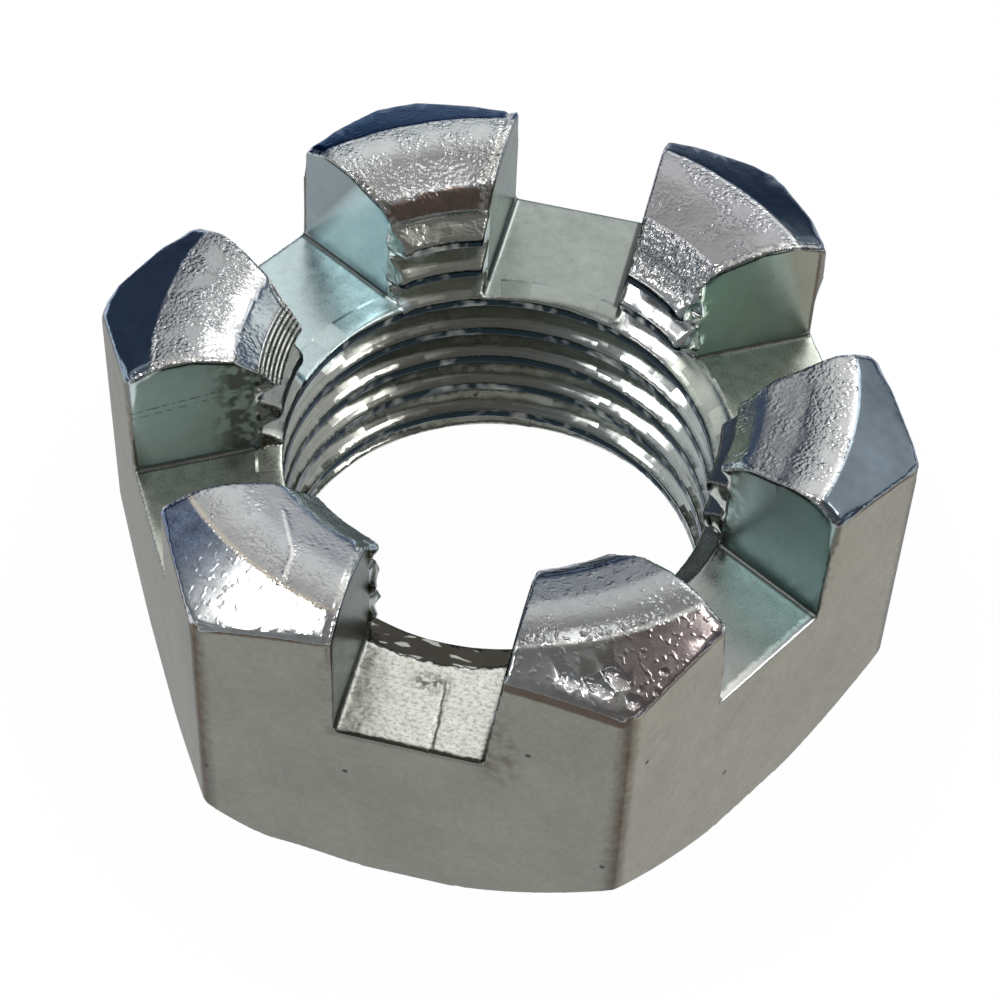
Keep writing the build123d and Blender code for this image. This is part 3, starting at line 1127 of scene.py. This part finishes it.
# Soft lamps round the nut: azimuth and elevation, size as seen from the nut in degrees, radiance
LAMPS = {
    "left_softbox": (199, 61, 13, 13, 5.0),
    "right_softbox": (9, 51, 14, 11, 5.0),
    "low_strip": (69, 43, 16, 16, 2.2),
    "high_strip": (45, 79, 10, 7, 3.0),
    "low_fill": (41, 15, 12, 14, 0.6),
    "left_fill": (212, 27, 14, 12, 1.0),
}
LAMP_COLOUR = (1.0, 0.99, 0.97)
LAMP_DISTANCE = 0.35
LAMP_TARGET = (0, 0, 0.010)


def softbox(name, azimuth, elevation, width, height, radiance):
    """A soft lamp that faces the nut."""
    data = bpy.data.lights.new(name, "AREA")
    data.shape = "RECTANGLE"
    data.size = 2 * LAMP_DISTANCE * math.tan(math.radians(width / 2))
    data.size_y = 2 * LAMP_DISTANCE * math.tan(math.radians(height / 2))
    data.energy = radiance * math.pi * data.size * data.size_y
    data.color = LAMP_COLOUR
    lamp = bpy.data.objects.new(name, data)
    bpy.context.collection.objects.link(lamp)
    away = Vector(unit(azimuth, elevation))
    lamp.location = Vector(LAMP_TARGET) + away * LAMP_DISTANCE
    lamp.rotation_euler = away.to_track_quat("Z", "Y").to_euler()


# The room's brightness behind the nut, by the height of the direction
ROOM_BEHIND = (
    (0.0, (0.05, 0.08, 0.14)), (0.12, (0.07, 0.10, 0.16)), (0.25, (0.28, 0.32, 0.37)),
    (0.36, (0.58, 0.60, 0.62)), (0.60, (0.66, 0.67, 0.68)), (0.80, (0.66, 0.66, 0.65)),
    (1.0, (0.45, 0.44, 0.43)),
)


def studio_world():
    """A dim room: pale behind the nut, brownish in front, navy near the horizon."""
    world = bpy.data.worlds.new("studio")
    world.use_nodes = True
    w = Wiring(world.node_tree)
    direction = w.node("TexCoord").outputs["Generated"]
    x, y, z = w.xyz(direction)
    ramp = w.node("ValToRGB", {0: z})
    points = ramp.color_ramp.elements
    for height, colour in ROOM_BEHIND[1:-1]:
        points.new(height)
    for point, (height, colour) in zip(points, ROOM_BEHIND):
        point.position = height
        point.color = (*colour, 1)
    front = w.mix(w.step(x, -0.3, 0.3), (0.17, 0.18, 0.19), (0.14, 0.135, 0.13))
    colour = w.mix(w.step(y, -0.25, 0.2), front, ramp.outputs["Color"])
    glow = w.step(w.vector("DOT_PRODUCT", direction, unit(100, 50)), 0.94, 0.99, 0.0, 0.2)
    colour = w.vector("ADD", colour, w.node("CombineXYZ", {0: glow, 1: glow, 2: glow}).outputs[0])
    dark = w.step(w.vector("DOT_PRODUCT", direction, unit(146, 12)), 0.78, 0.95)
    colour = w.mix(dark, colour, (0.05, 0.065, 0.10))
    w.put(world.node_tree.nodes["Background"].inputs["Color"], colour)
    world.cycles.sampling_method = "NONE"
    return world


# ---------------------------------------------------------------- the scene
nut = make_nut()
finish_surface(nut)
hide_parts("slotted_nut")
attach(nut, "root")
nut.data.materials.clear()
nut.data.materials.append(zinc_plate())

deselect_all()
bpy.ops.mesh.primitive_plane_add(size=6)
floor = bpy.context.object
floor.name = "floor"
floor.data.materials.append(floor_material())
for lamp_name, lamp_values in LAMPS.items():
    softbox(lamp_name, *lamp_values)
bpy.context.scene.world = studio_world()

# Camera at the photograph's viewing angle
CAMERA_PLACE = Vector((13.129, -63.999, 86.558)) * MM
CAMERA_AZIMUTH = 11.516
CAMERA_ELEVATION = 51.114
CAMERA_ROLL = 2.801
CAMERA_LENS = 109.368

camera_data = bpy.data.cameras.new("camera")
camera = bpy.data.objects.new("camera", camera_data)
bpy.context.collection.objects.link(camera)
camera_data.lens = CAMERA_LENS
camera_data.sensor_width = 36
camera_data.clip_start = 0.01
camera_data.clip_end = 10
turn = (
    Matrix.Rotation(math.radians(CAMERA_AZIMUTH), 3, "Z")
    @ Matrix.Rotation(math.radians(90 - CAMERA_ELEVATION), 3, "X")
    @ Matrix.Rotation(math.radians(CAMERA_ROLL), 3, "Z")
)
camera.location = CAMERA_PLACE
camera.rotation_euler = turn.to_euler()
bpy.context.scene.camera = camera

bpy.context.scene.view_settings.view_transform = "Standard"
